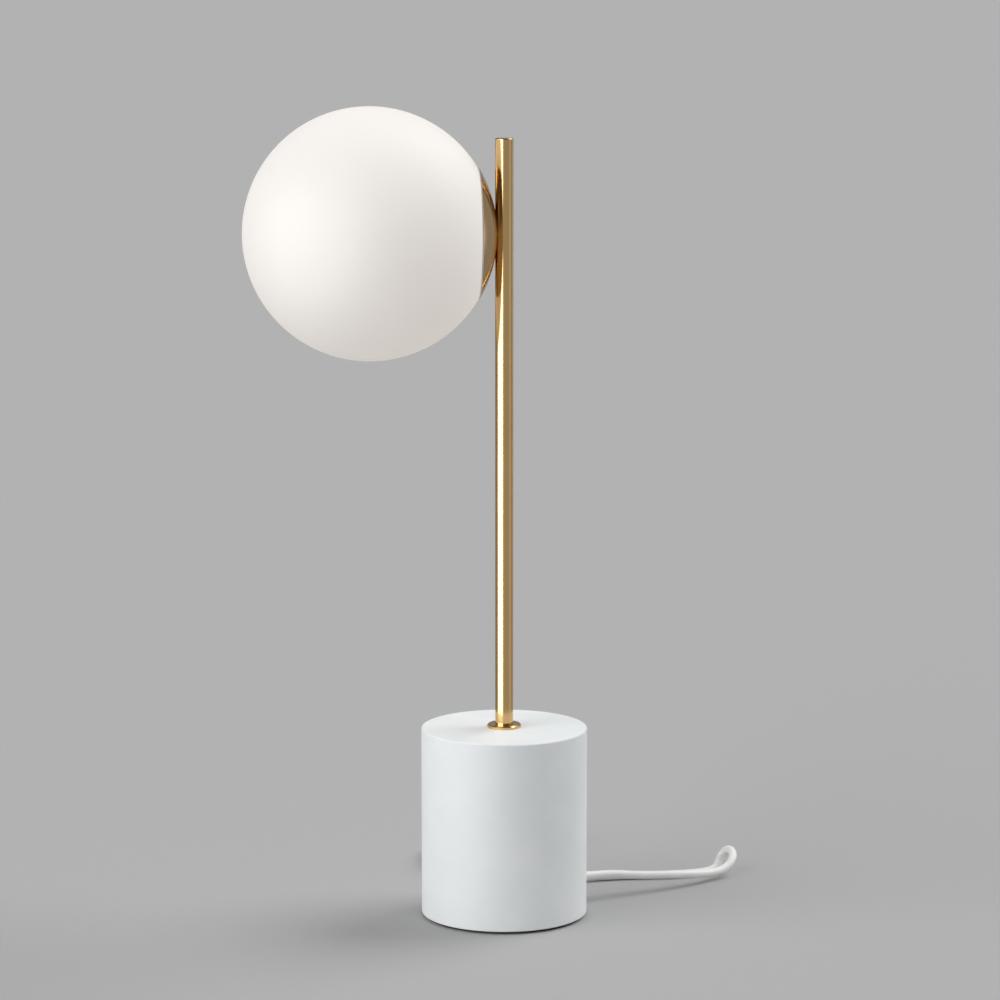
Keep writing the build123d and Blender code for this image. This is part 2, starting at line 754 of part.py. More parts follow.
clamp_parts = (
    ("clamp_seat", plate_top, exit_height - clamp_gap / 2),
    ("clamp_bar", exit_height + clamp_gap / 2, exit_height + clamp_gap / 2 + clamp_bar_height),
)
for clamp_label, clamp_low, clamp_high in clamp_parts:
    with BuildPart() as clamp_part:
        with BuildSketch(exit_upright(clamp_low)):
            with Locations((clamp_distance, 0)):
                Rectangle(clamp_depth, clamp_width)
                with GridLocations(0, clamp_screw_spacing, 1, 2):
                    Circle(clamp_screw_diameter / 2 + slide_gap, mode=Mode.SUBTRACT)
        extrude(amount=clamp_high - clamp_low)
        with BuildSketch(exit_plane(clamp_distance)):
            Circle(lead_radius + slide_gap)
        extrude(amount=clamp_depth, both=True, mode=Mode.SUBTRACT)
    write(clamp_part, clamp_label)

clamp_top = exit_height + clamp_gap / 2 + clamp_bar_height
with BuildPart() as clamp_screws:
    with BuildSketch(exit_upright(clamp_top)):
        with Locations((clamp_distance, 0)):
            with GridLocations(0, clamp_screw_spacing, 1, 2):
                Circle(clamp_screw_head_diameter / 2)
    extrude(amount=clamp_screw_head_height)
    with BuildSketch(exit_upright(foot_pad_thickness)):
        with Locations((clamp_distance, 0)):
            with GridLocations(0, clamp_screw_spacing, 1, 2):
                Circle(clamp_screw_diameter / 2)
    extrude(amount=clamp_top - foot_pad_thickness)
write(clamp_screws, "clamp_screws")

# ======== in-line switch: two shells with the rocker between them ========
switch_level = Plane(origin=(switch_x, switch_y, 0))
switch_across = Plane(origin=(switch_x, switch_y, switch_lead_height), z_dir=(1, 0, 0))
hollow_length = switch_length - 2 * switch_wall
hollow_width = switch_width - 2 * switch_wall
hollow_corner_radius = switch_corner_radius - switch_wall
post_places = ((switch_post_x, switch_post_y), (-switch_post_x, -switch_post_y))
screw_seat = switch_screw_recess + switch_screw_head_height

with BuildPart() as switch_base:
    with BuildSketch(switch_level):
        RectangleRounded(switch_length, switch_width, switch_corner_radius)
    extrude(amount=switch_lead_height)
    fillet(switch_base.edges().group_by(Axis.Z)[0], switch_foot_edge)
    with BuildSketch(switch_level.offset(switch_wall)):
        RectangleRounded(hollow_length, hollow_width, hollow_corner_radius)
        with Locations(*post_places):
            Circle(switch_post_diameter / 2, mode=Mode.SUBTRACT)
    extrude(amount=switch_height, mode=Mode.SUBTRACT)
    with BuildSketch(switch_level):
        with Locations(*post_places):
            Circle(switch_screw_head_diameter / 2 + slide_gap)
    extrude(amount=screw_seat, mode=Mode.SUBTRACT)
    with BuildSketch(switch_level):
        with Locations(*post_places):
            Circle(switch_screw_diameter / 2 + slide_gap)
    extrude(amount=switch_height, mode=Mode.SUBTRACT)
    with BuildSketch(switch_across):
        Circle(lead_radius + slide_gap)
    extrude(amount=switch_length, both=True, mode=Mode.SUBTRACT)
write(switch_base, "switch_base")

window_length = rocker_length + 2 * rocker_end_gap
window_width = rocker_width + 2 * rocker_side_gap
boss_height = switch_roof - pivot_height + pivot_boss_length / 2
with BuildPart() as switch_cover:
    with BuildSketch(switch_level.offset(switch_lead_height)):
        RectangleRounded(switch_length, switch_width, switch_corner_radius)
    extrude(amount=switch_height - switch_lead_height)
    fillet(switch_cover.edges().group_by(Axis.Z)[-1], switch_top_edge)
    with BuildSketch(switch_level.offset(switch_lead_height)):
        RectangleRounded(hollow_length, hollow_width, hollow_corner_radius)
        with Locations(*post_places):
            Circle(switch_post_diameter / 2, mode=Mode.SUBTRACT)
    extrude(amount=switch_roof - switch_lead_height, mode=Mode.SUBTRACT)
    with BuildSketch(switch_level.offset(switch_roof)):
        Rectangle(window_length, window_width)
    extrude(amount=switch_wall, mode=Mode.SUBTRACT)
    with BuildSketch(switch_level.offset(switch_roof)):
        with GridLocations(0, window_width + pivot_boss_thickness, 1, 2):
            Rectangle(pivot_boss_length, pivot_boss_thickness)
    extrude(amount=-boss_height)
    with BuildSketch(Plane(origin=(switch_x, switch_y, pivot_height), z_dir=(0, 1, 0))):
        Circle(rocker_pin_diameter / 2 + slide_gap)
    extrude(amount=window_width / 2 + pivot_boss_thickness, both=True, mode=Mode.SUBTRACT)
    with BuildSketch(switch_level.offset(switch_lead_height)):
        with Locations(*post_places):
            Circle(switch_screw_diameter / 2 + slide_gap)
    screw_hole_depth = switch_screw_recess + switch_screw_length + seat_gap - switch_lead_height
    extrude(amount=screw_hole_depth, mode=Mode.SUBTRACT)
    with BuildSketch(switch_across):
        Circle(lead_radius + slide_gap)
    extrude(amount=switch_length, both=True, mode=Mode.SUBTRACT)
write(switch_cover, "switch_cover")

tilt = math.radians(rocker_tilt)
rocker_plane = Plane(
    origin=(switch_x, switch_y, pivot_height),
    x_dir=(math.cos(tilt), 0, math.sin(tilt)),
    z_dir=(0, -1, 0),
)
with BuildPart() as switch_rocker:
    with BuildSketch(rocker_plane):
        with BuildLine():
            Polyline(
                (-rocker_length / 2, -rocker_depth),
                (rocker_length / 2, -rocker_depth),
                (rocker_length / 2, rocker_pivot_depth + rocker_end_rise),
                (0, rocker_pivot_depth + rocker_middle_rise),
                (-rocker_length / 2, rocker_pivot_depth + rocker_end_rise),
                close=True,
            )
        make_face()
    extrude(amount=rocker_width / 2, both=True)
    with BuildSketch(rocker_plane):
        Circle(rocker_pin_diameter / 2)
    extrude(amount=rocker_width / 2 + rocker_pin_length, both=True)
write(switch_rocker, "switch_rocker")

with BuildPart() as switch_screws:
    with BuildSketch(switch_level.offset(switch_screw_recess)):
        with Locations(*post_places):
            Circle(switch_screw_head_diameter / 2)
    extrude(amount=switch_screw_head_height)
    with BuildSketch(switch_level.offset(switch_screw_recess)):
        with Locations(*post_places):
            Circle(switch_screw_diameter / 2)
    extrude(amount=switch_screw_length)
write(switch_screws, "switch_screws")

with BuildPart() as switch_contacts:
    with BuildSketch(switch_level.offset(switch_wall)):
        with GridLocations(contact_spacing, 0, 2, 1):
            Rectangle(contact_length, contact_width)
    extrude(amount=contact_height)
write(switch_contacts, "switch_contacts")

with BuildPart() as switch_lead_ends:
    for end_direction in (1, -1):
        with BuildSketch(switch_across.offset(end_direction * switch_length / 2)):
            Circle(lead_radius)
        extrude(amount=-end_direction * (switch_wall + switch_lead_reach))
write(switch_lead_ends, "switch_lead_ends")

# ======== free stretches of the lead ========
front_points = [
    exit_direction * grommet_end + upwards * exit_height,
    exit_direction * (grommet_end + 20) + upwards * exit_height,
    (104, 48.5, 14.5),
    (130, 58, 11.5),
    (150, 69, 8.5),
    (165, 80, 7),
    (172.5, 87, 8.5),
    (177, 92, 12),
    (179.5, 98, 16),
    (180, 104, 17.5),
    (179, 109, 15),
    (176.5, 112, 9.5),
    (173.5, 110.5, 4.8),
    (167, 106.5, 3),
    (155, 100, 3),
    (140, 95.5, 3),
    (119, 91.5, 3),
    (96, 89, 3),
    (78, 85.5, 3.5),
    (62, switch_y, switch_lead_height),
    (switch_end_x, switch_y, switch_lead_height),
]
link_points = [
    (switch_end_x - switch_length, switch_y, switch_lead_height),
    (-14.5, switch_y, switch_lead_height),
    (-27, 87.3, 6),
    (-36.5, 96.8, 5),
    (-41.4, 109.2, 4.3),
    (coil_left_x, 123, coil_base_height),
    (coil_left_x, coil_y - lead_diameter, coil_base_height),
]
tail_points = [
    (coil_left_x, coil_y + lead_diameter, coil_base_height + coil_layer_rise),
    (coil_left_x, 162, coil_base_height + coil_layer_rise),
    (-41.2, 178, 8.2),
    (-35.8, 191.7, 5.6),
    (-25.4, 202, 5),
    (-12, plug_y, plug_axis_height),
    (plug_start_x, plug_y, plug_axis_height),
]

for stretch_label, stretch_points in (
    ("lead_front", front_points),
    ("lead_link", link_points),
    ("lead_tail", tail_points),
):
    radii = bend_radii(stretch_points)
    print(stretch_label, "bend radii", [round(radius, 1) for radius in radii])
    with BuildPart() as stretch:
        with BuildLine() as stretch_route:
            FilletPolyline(*stretch_points, radius=radii)
        with BuildSketch(Plane(origin=stretch_route.line @ 0, z_dir=stretch_route.line % 0)):
            Circle(lead_radius)
        sweep()
    write(stretch, stretch_label)
    tell_volume(stretch, stretch_label, stretch_route.wire().length)

# ======== coil: in along the lower layer, up in the middle, out along the upper layer ========
coil_upper_height = coil_base_height + coil_layer_rise
with BuildPart() as lead_coil:
    with BuildLine() as coil_route:
        Line((coil_left_x, coil_y - lead_diameter, coil_base_height), (coil_left_x, coil_y, coil_base_height))
        x, side = coil_left_x, 1
        for number in range(coil_half_turns_in):
            next_x = x + side * (2 * coil_first_radius - number * coil_pitch)
            turn_ends = ((x, coil_y, coil_base_height), (next_x, coil_y, coil_base_height))
            TangentArc(*turn_ends, tangent=(0, side, 0))
            x, side = next_x, -side
        climb_radius = coil_first_radius - coil_half_turns_in * coil_pitch / 2
        climb_reach = math.sqrt(climb_radius**2 + coil_layer_rise**2 / 4)
        climb_middle = (x + climb_radius, coil_y + climb_reach, coil_base_height + coil_layer_rise / 2)
        climb_end = (x + 2 * climb_radius, coil_y, coil_upper_height)
        TangentArc((x, coil_y, coil_base_height), climb_middle, tangent=(0, 1, 0))
        TangentArc(climb_middle, climb_end, tangent=(2 * climb_radius, 0, coil_layer_rise))
        x, side = climb_end[0], -1
        for number in range(coil_half_turns_out):
            next_x = x + side * (2 * climb_radius + (number + 1) * coil_pitch)
            turn_ends = ((x, coil_y, coil_upper_height), (next_x, coil_y, coil_upper_height))
            TangentArc(*turn_ends, tangent=(0, side, 0))
            x, side = next_x, -side
        Line((x, coil_y, coil_upper_height), (x, coil_y + lead_diameter, coil_upper_height))
    with BuildSketch(Plane(origin=coil_route.line @ 0, z_dir=coil_route.line % 0)):
        Circle(lead_radius)
    sweep()
write(lead_coil, "lead_coil")
coil_wire = coil_route.wire()
coil_length = coil_wire.length
tell_volume(lead_coil, "lead_coil", coil_length)

sample_count = 900
sample_step = coil_length / sample_count
samples = [tuple(coil_wire @ (number / sample_count)) for number in range(sample_count + 1)]
skipped = math.ceil(4 * lead_diameter / sample_step)
gaps = [
    math.dist(samples[a], samples[b]) - lead_diameter
    for a in range(len(samples))
    for b in range(a + skipped, len(samples))
]
print("lead_coil least gap to itself", round(min(gaps), 2))

strap_lower_outer = coil_left_x + 2 * coil_first_radius
strap_lower_inner = strap_lower_outer - (coil_half_turns_in // 2 - 1) * coil_pitch - strap_inner_slack
strap_upper_inner = climb_end[0] - strap_inner_slack
strap_upper_outer = climb_end[0] + (coil_half_turns_out // 2) * coil_pitch
strap_corners = (
    (strap_lower_inner, coil_base_height),
    (strap_lower_outer, coil_base_height),
    (strap_upper_inner, coil_upper_height),
    (strap_upper_outer, coil_upper_height),
)
strap_inner_edge = lead_radius + strap_gap
with BuildPart() as coil_strap:
    strap_outer_edge = strap_inner_edge + strap_thickness
    for edge_radius, edge_mode in ((strap_outer_edge, Mode.ADD), (strap_inner_edge, Mode.SUBTRACT)):
        with BuildSketch(Plane(origin=(0, coil_y, 0), x_dir=(1, 0, 0), z_dir=(0, -1, 0))):
            with Locations(*strap_corners):
                Circle(edge_radius)
            make_hull()
        extrude(amount=strap_width / 2, both=True, mode=edge_mode)
write(coil_strap, "coil_strap")

# ======== mains plug ========
plug_back_x = plug_start_x + plug_tail_length
plug_front_x = plug_back_x + plug_body_length
plug_shoulder_x = plug_back_x + plug_body_length / 2


def plug_plane(x):
    """The plane across the plug's axis, facing the way its pins point."""
    return Plane(origin=(x, plug_y, plug_axis_height), x_dir=(0, 1, 0), z_dir=(1, 0, 0))


with BuildPart() as plug_body:
    with BuildSketch(Plane(origin=(0, plug_y, plug_axis_height))):
        with BuildLine():
            Polyline(
                (plug_back_x, -plug_back_width / 2),
                (plug_shoulder_x, -plug_body_width / 2),
                (plug_front_x, -plug_body_width / 2),
                (plug_front_x, plug_body_width / 2),
                (plug_shoulder_x, plug_body_width / 2),
                (plug_back_x, plug_back_width / 2),
                close=True,
            )
        make_face()
    extrude(amount=plug_body_thickness / 2, both=True)
    fillet(plug_body.edges(), plug_edge_round)
    with BuildSketch(plug_plane(plug_start_x)):
        Circle(plug_tail_tip_diameter / 2)
    with BuildSketch(plug_plane(plug_back_x)):
        Circle(plug_tail_root_diameter / 2)
    loft()
    with BuildSketch(plug_plane(plug_front_x)):
        with GridLocations(pin_spacing, 0, 2, 1):
            Circle(pin_root_diameter / 2 + slide_gap)
    extrude(amount=-pin_root, mode=Mode.SUBTRACT)
write(plug_body, "plug_body")

with BuildPart() as plug_pins:
    for pin_diameter_here, pin_reach in ((pin_root_diameter, -pin_root), (pin_diameter, pin_length)):
        with BuildSketch(plug_plane(plug_front_x)):
            with GridLocations(pin_spacing, 0, 2, 1):
                Circle(pin_diameter_here / 2)
        extrude(amount=pin_reach)
    fillet(plug_pins.edges().group_by(Axis.X)[-1], pin_tip_round)
write(plug_pins, "plug_pins")
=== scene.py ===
import json
import math

import bpy
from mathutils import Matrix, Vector


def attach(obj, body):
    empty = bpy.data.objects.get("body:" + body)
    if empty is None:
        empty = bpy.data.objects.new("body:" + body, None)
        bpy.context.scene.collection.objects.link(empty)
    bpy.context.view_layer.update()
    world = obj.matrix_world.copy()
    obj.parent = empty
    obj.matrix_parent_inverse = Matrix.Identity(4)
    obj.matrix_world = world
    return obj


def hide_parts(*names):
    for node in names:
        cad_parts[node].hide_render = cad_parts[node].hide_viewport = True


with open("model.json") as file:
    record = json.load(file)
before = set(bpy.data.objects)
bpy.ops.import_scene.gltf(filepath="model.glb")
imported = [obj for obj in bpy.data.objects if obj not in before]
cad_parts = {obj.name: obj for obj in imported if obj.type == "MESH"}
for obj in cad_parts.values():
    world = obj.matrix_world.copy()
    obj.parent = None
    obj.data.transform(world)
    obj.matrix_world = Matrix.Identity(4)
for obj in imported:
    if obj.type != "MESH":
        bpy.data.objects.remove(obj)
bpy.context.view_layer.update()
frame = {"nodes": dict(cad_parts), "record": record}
print("frame loaded,", len(frame["nodes"]), "nodes")


# small helpers
def deselectAll():
    bpy.ops.object.select_all(action="DESELECT")


def addedPiece(name):
    piece = bpy.context.object
    piece.name = name
    piece.data.name = name
    return piece


def settle(piece):
    # the place goes into the mesh, and the object back to the origin
    deselectAll()
    piece.select_set(True)
    bpy.context.view_layer.objects.active = piece
    bpy.ops.object.transform_apply(location=True, rotation=True, scale=True)


def applyAll(piece):
    bpy.context.view_layer.objects.active = piece
    for modifier in list(piece.modifiers):
        bpy.ops.object.modifier_apply(modifier=modifier.name)


def putMaterial(piece, material):
    if piece.material_slots:
        piece.material_slots[0].material = material
    else:
        piece.data.materials.append(material)


def roundEdges(piece, width, segments, sharpAngle):
    edge = piece.modifiers.new("edge", "BEVEL")
    edge.width = width
    edge.segments = segments
    edge.limit_method = "ANGLE"
    edge.angle_limit = math.radians(sharpAngle)


def thicken(piece, thickness, offset):
    wall = piece.modifiers.new("wall", "SOLIDIFY")
    wall.thickness = thickness
    wall.offset = offset


def joinPieces(name, pieces):
    deselectAll()
    for piece in pieces:
        piece.select_set(True)
    bpy.context.view_layer.objects.active = pieces[0]
    bpy.ops.object.join()
    return addedPiece(name)


# camera
cameraSettings = {
    "location": (-0.2165, -2.5910, 0.7067),
    "tiltDegrees": 81.22,
    "turnDegrees": -4.71,
    "lens": 131.97,
    "sensor": 36.0,
    "clipStart": 0.05,
    "clipEnd": 200,
}


def makeCamera(settings):
    bpy.ops.object.camera_add(location=settings["location"])
    camera = bpy.context.object
    camera.name = "photoCamera"
    camera.rotation_euler = (
        math.radians(settings["tiltDegrees"]),
        0,
        math.radians(settings["turnDegrees"]),
    )
    camera.data.lens = settings["lens"]
    camera.data.sensor_width = settings["sensor"]
    camera.data.clip_start = settings["clipStart"]
    camera.data.clip_end = settings["clipEnd"]
    bpy.context.scene.camera = camera


makeCamera(cameraSettings)
bpy.context.scene.view_settings.view_transform = "Standard"
print("camera placed")

# the lead, in metres: the front stretch was laid to follow the photograph,
# and the stretches behind the switch run along the same points as the part
leadSettings = {
    "diameter": 0.006,
    "frontLength": 0.294,
    "restLength": 1.45,
    "roundness": 10,
    "steps": 8,
}
leadFrontPoints = [
    (0.061118, 0.029809, 0.0185),
    (0.079094, 0.038577, 0.018),
    (0.104, 0.0485, 0.0135),
    (0.13, 0.058, 0.011),
    (0.15, 0.069, 0.008),
    (0.165, 0.0795, 0.006),
    (0.174, 0.0865, 0.0068),
    (0.18, 0.092, 0.01),
    (0.183, 0.0985, 0.014),
    (0.1829, 0.1065, 0.0167),
    (0.1795, 0.113, 0.0155),
    (0.1755, 0.114, 0.01),
    (0.1727, 0.108, 0.0045),
    (0.1668, 0.0985, 0.003),
    (0.1555, 0.0922, 0.003),
    (0.14, 0.089, 0.003),
    (0.119, 0.0885, 0.003),
    (0.096, 0.0885, 0.003),
    (0.078, 0.0855, 0.0035),
    (0.062, 0.0825, 0.0065),
    (0.05, 0.0825, 0.0065),
]
leadLinkPoints = [
    (-0.004, 0.0825, 0.0065),
    (-0.0145, 0.0825, 0.0065),
    (-0.027, 0.0873, 0.006),
    (-0.0365, 0.0968, 0.005),
    (-0.0414, 0.1092, 0.0043),
    (-0.041, 0.123, 0.004),
    (-0.041, 0.136, 0.004),
]
leadTailPoints = [
    (-0.041, 0.148, 0.0105),
    (-0.041, 0.162, 0.0105),
    (-0.0412, 0.178, 0.0082),
    (-0.0358, 0.1917, 0.0056),
    (-0.0254, 0.202, 0.005),
    (-0.012, 0.2075, 0.007),
    (0.002, 0.2075, 0.007),
]
coilSettings = {
    "left": -0.041,
    "middleY": 0.142,
    "lowerHeight": 0.004,
    "upperHeight": 0.0105,
    "radiiInwards": (0.0435, 0.04025, 0.037, 0.03375, 0.0305, 0.02725),
    "climbRadius": 0.024,
    "radiiOutwards": (0.02725, 0.0305, 0.03375, 0.037, 0.04025),
    "pointsPerHalfTurn": 12,
}


def coilTurns(settings):
    # the lower turns wind in, one half turn climbs, and the upper turns wind out
    points = []
    x, side = settings["left"], 1
    count = settings["pointsPerHalfTurn"]
    # the points stand a little outside the curve that they draw
    inset = math.cos(math.pi / count / 2)
    halfTurns = (
        [(r, 0.0, 0.0) for r in settings["radiiInwards"]]
        + [(settings["climbRadius"], 0.0, 1.0)]
        + [(r, 1.0, 1.0) for r in settings["radiiOutwards"]]
    )
    rise = settings["upperHeight"] - settings["lowerHeight"]
    for radius, startShare, endShare in halfTurns:
        centre = x + side * radius
        wide = radius / inset
        for number in range(count):
            share = (number + 0.5) / count
            angle = math.pi * share
            height = startShare + (endShare - startShare) * share
            points.append(
                (
                    centre - side * wide * math.cos(angle),
                    settings["middleY"] + side * wide * math.sin(angle),
                    settings["lowerHeight"] + rise * height,
                )
            )
        x = centre + side * radius
        side = -side
    return points


def makeLead(name, points, settings):
    curve = bpy.data.curves.new(name, "CURVE")
    curve.dimensions = "3D"
    spline = curve.splines.new("NURBS")
    spline.points.add(len(points) - 1)
    # the points' own radii carry the thickness, so that the curve's box is right too
    for point, place in zip(spline.points, points):
        point.co = (*place, 1)
        point.radius = settings["diameter"] / 2
    spline.order_u = 3
    spline.use_endpoint_u = True
    curve.resolution_u = settings["steps"]
    curve.bevel_depth = 1.0
    curve.bevel_resolution = settings["roundness"]
    curve.use_fill_caps = True
    lead = bpy.data.objects.new(name, curve)
    bpy.context.scene.collection.objects.link(lead)
    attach(lead, "lamp")
    return lead


leadFront = makeLead("leadFront", leadFrontPoints, leadSettings)
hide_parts("lead_front")
leadRestPoints = leadLinkPoints + coilTurns(coilSettings) + leadTailPoints
leadRest = makeLead("leadRest", leadRestPoints, leadSettings)
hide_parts("lead_link", "lead_coil", "lead_tail")
print("lead laid, with", len(leadRestPoints), "points behind the switch")


# finishes
finishShape = {
    "cloudSpan": (0.3, 0.7),
    "cloudNoise": {"Detail": 5, "Roughness": 0.6},
    "grainNoise": {"Detail": 3, "Roughness": 0.5},
    "grainDepth": 0.0002,
}


def newMaterial(name):
    material = bpy.data.materials.new(name)
    material.use_nodes = True
    return material, material.node_tree.nodes, material.node_tree.links


def addNode(nodes, kind, values=None):
    node = nodes.new(kind)
    for key, value in (values or {}).items():
        node.inputs[key].default_value = value
    return node


def makeFinish(settings, shape):
    # two tones under a soft cloud, a roughness that wanders and a fine grain of bump
    material, nodes, links = newMaterial(settings["name"])
    shader = nodes["Principled BSDF"]
    for key, value in settings.get("shader", {}).items():
        shader.inputs[key].default_value = value
    place = addNode(nodes, "ShaderNodeTexCoord")
    cloud = addNode(
        nodes,
        "ShaderNodeTexNoise",
        {"Scale": settings["cloudScale"], **shape["cloudNoise"]},
    )
    links.new(place.outputs["Object"], cloud.inputs["Vector"])
    tones = addNode(nodes, "ShaderNodeValToRGB")
    ends = zip(tones.color_ramp.elements, shape["cloudSpan"], ("darkTone", "lightTone"))
    for end, position, tone in ends:
        end.position = position
        end.color = (*settings[tone], 1)
    links.new(cloud.outputs["Fac"], tones.inputs["Fac"])
    links.new(tones.outputs["Color"], shader.inputs["Base Color"])
    sheen = addNode(
        nodes,
        "ShaderNodeMapRange",
        {
            "From Min": shape["cloudSpan"][0],
            "From Max": shape["cloudSpan"][1],
            "To Min": settings["roughness"][0],
            "To Max": settings["roughness"][1],
        },
    )
    links.new(cloud.outputs["Fac"], sheen.inputs["Value"])
    links.new(sheen.outputs["Result"], shader.inputs["Roughness"])
    grain = addNode(
        nodes,
        "ShaderNodeTexNoise",
        {"Scale": settings["grainScale"], **shape["grainNoise"]},
    )
    links.new(place.outputs["Object"], grain.inputs["Vector"])
    relief = addNode(
        nodes,
        "ShaderNodeBump",
        {"Strength": settings["grainStrength"], "Distance": shape["grainDepth"]},
    )
    links.new(grain.outputs["Fac"], relief.inputs["Height"])
    links.new(relief.outputs["Normal"], shader.inputs["Normal"])
    return material


finishSettings = {
    "stone": {
        "name": "honedWhiteStone",
        "darkTone": (0.80, 0.838, 0.85),
        "lightTone": (0.86, 0.882, 0.89),
        "roughness": (0.5, 0.62),
        "cloudScale": 28,
        "grainScale": 1500,
        "grainStrength": 0.15,
    },
    "pad": {
        "name": "blackFeltPad",
        "darkTone": (0.025, 0.025, 0.027),
        "lightTone": (0.05, 0.05, 0.052),
        "roughness": (0.85, 0.95),
        "cloudScale": 300,
        "grainScale": 4000,
        "grainStrength": 0.8,
    },
    "polished_brass": {
        "name": "polishedBrass",
        "darkTone": (0.64, 0.42, 0.185),
        "lightTone": (0.69, 0.465, 0.215),
        "roughness": (0.13, 0.17),
        "cloudScale": 18,
        "grainScale": 2500,
        "grainStrength": 0.01,
        "shader": {"Metallic": 1.0},
    },
    "plain_brass": {
        "name": "plainBrass",
        "darkTone": (0.50, 0.34, 0.14),
        "lightTone": (0.62, 0.43, 0.19),
        "roughness": (0.3, 0.42),
        "cloudScale": 120,
        "grainScale": 3000,
        "grainStrength": 0.08,
        "shader": {"Metallic": 1.0},
    },
    "zinc_steel": {
        "name": "zincPlatedSteel",
        "darkTone": (0.50, 0.51, 0.52),
        "lightTone": (0.64, 0.65, 0.65),
        "roughness": (0.3, 0.45),
        "cloudScale": 140,
        "grainScale": 2600,
        "grainStrength": 0.1,
        "shader": {"Metallic": 1.0},
    },
    "spring_steel": {
        "name": "springSteel",
        "darkTone": (0.38, 0.37, 0.36),
        "lightTone": (0.5, 0.49, 0.47),
        "roughness": (0.22, 0.34),
        "cloudScale": 160,
        "grainScale": 2600,
        "grainStrength": 0.08,
        "shader": {"Metallic": 1.0},
    },
    "opal_glass": {
        "name": "satinOpalGlassWithPaintedGlow",
        "darkTone": (0.615, 0.617, 0.612),
        "lightTone": (0.64, 0.642, 0.637),
        "roughness": (0.5, 0.55),
        "cloudScale": 6,
        "grainScale": 900,
        "grainStrength": 0.02,
        "shader": {
            "Specular IOR Level": 0.25,
            # painted glow: a faint warm emission stands in for light scattered through
            # the opal shell and brightens its shaded side
            "Emission Color": (1.0, 0.89, 0.79, 1),
            "Emission Strength": 0.33,
        },
    },
    "gasket": {
        "name": "clearSiliconeGasket",
        "darkTone": (0.62, 0.61, 0.58),
        "lightTone": (0.72, 0.71, 0.68),
        "roughness": (0.5, 0.6),
        "cloudScale": 200,
        "grainScale": 2000,
        "grainStrength": 0.1,
    },
    "holder_plastic": {
        "name": "whiteHolderPlastic",
        "darkTone": (0.74, 0.73, 0.69),
        "lightTone": (0.78, 0.77, 0.73),
        "roughness": (0.4, 0.5),
        "cloudScale": 90,
        "grainScale": 1800,
        "grainStrength": 0.1,
    },
    "nickel": {
        "name": "nickelPlate",
        "darkTone": (0.60, 0.58, 0.53),
        "lightTone": (0.68, 0.66, 0.61),
        "roughness": (0.16, 0.24),
        "cloudScale": 110,
        "grainScale": 2500,
        "grainStrength": 0.04,
        "shader": {"Metallic": 1.0},
    },
    "lamp_plastic": {
        "name": "whiteLampPlastic",
        "darkTone": (0.78, 0.78, 0.77),
        "lightTone": (0.83, 0.83, 0.82),
        "roughness": (0.35, 0.42),
        "cloudScale": 80,
        "grainScale": 1600,
        "grainStrength": 0.06,
    },
    "lamp_diffuser": {
        "name": "frostedLampDiffuser",
        "darkTone": (0.86, 0.86, 0.84),
        "lightTone": (0.9, 0.9, 0.88),
        "roughness": (0.5, 0.56),
        "cloudScale": 40,
        "grainScale": 1500,
        "grainStrength": 0.04,
    },
    "board": {
        "name": "whiteLightBoard",
        "darkTone": (0.72, 0.73, 0.70),
        "lightTone": (0.78, 0.79, 0.76),
        "roughness": (0.35, 0.45),
        "cloudScale": 300,
        "grainScale": 2500,
        "grainStrength": 0.1,
    },
    "chips": {
        "name": "yellowLightChips",
        "darkTone": (0.78, 0.62, 0.12),
        "lightTone": (0.85, 0.70, 0.18),
        "roughness": (0.3, 0.4),
        "cloudScale": 900,
        "grainScale": 4000,
        "grainStrength": 0.05,
    },
    "lead": {
        "name": "whiteLeadSheath",
        "darkTone": (0.86, 0.85, 0.835),
        "lightTone": (0.90, 0.892, 0.88),
        "roughness": (0.36, 0.48),
        "cloudScale": 70,
        "grainScale": 1400,
        "grainStrength": 0.12,
    },
    "wire": {
        "name": "brownWireSheath",
        "darkTone": (0.13, 0.06, 0.03),
        "lightTone": (0.17, 0.08, 0.045),
        "roughness": (0.4, 0.5),
        "cloudScale": 120,
        "grainScale": 2000,
        "grainStrength": 0.08,
    },
    "grommet": {
        "name": "whiteGrommetRubber",
        "darkTone": (0.68, 0.67, 0.655),
        "lightTone": (0.73, 0.72, 0.705),
        "roughness": (0.5, 0.6),
        "cloudScale": 150,
        "grainScale": 1800,
        "grainStrength": 0.15,
    },
    "clamp_plastic": {
        "name": "blackClampPlastic",
        "darkTone": (0.03, 0.03, 0.032),
        "lightTone": (0.05, 0.05, 0.052),
        "roughness": (0.4, 0.5),
        "cloudScale": 150,
        "grainScale": 2000,
        "grainStrength": 0.15,
    },
    "switch_plastic": {
        "name": "whiteSwitchPlastic",
        "darkTone": (0.74, 0.735, 0.72),
        "lightTone": (0.79, 0.785, 0.77),
        "roughness": (0.34, 0.42),
        "cloudScale": 90,
        "grainScale": 2200,
        "grainStrength": 0.12,
    },
    "rocker_plastic": {
        "name": "whiteRockerPlastic",
        "darkTone": (0.795, 0.79, 0.775),
        "lightTone": (0.815, 0.81, 0.795),
        "roughness": (0.3, 0.33),
        "cloudScale": 120,
        "grainScale": 2200,
        "grainStrength": 0.02,
    },
    "strap": {
        "name": "greyHookAndLoopStrap",
        "darkTone": (0.30, 0.30, 0.305),
        "lightTone": (0.40, 0.40, 0.405),
        "roughness": (0.8, 0.92),
        "cloudScale": 500,
        "grainScale": 5000,
        "grainStrength": 0.8,
    },
    "plug_plastic": {
        "name": "whitePlugPlastic",
        "darkTone": (0.74, 0.735, 0.72),
        "lightTone": (0.785, 0.78, 0.765),
        "roughness": (0.4, 0.48),
        "cloudScale": 80,
        "grainScale": 2000,
        "grainStrength": 0.12,
    },
}
finishes = {
    slot: makeFinish(values, finishShape) for slot, values in finishSettings.items()
}
for row in frame["record"]["subparts"]:
    putMaterial(frame["nodes"][row["node"]], finishes[row["material_slot"]])
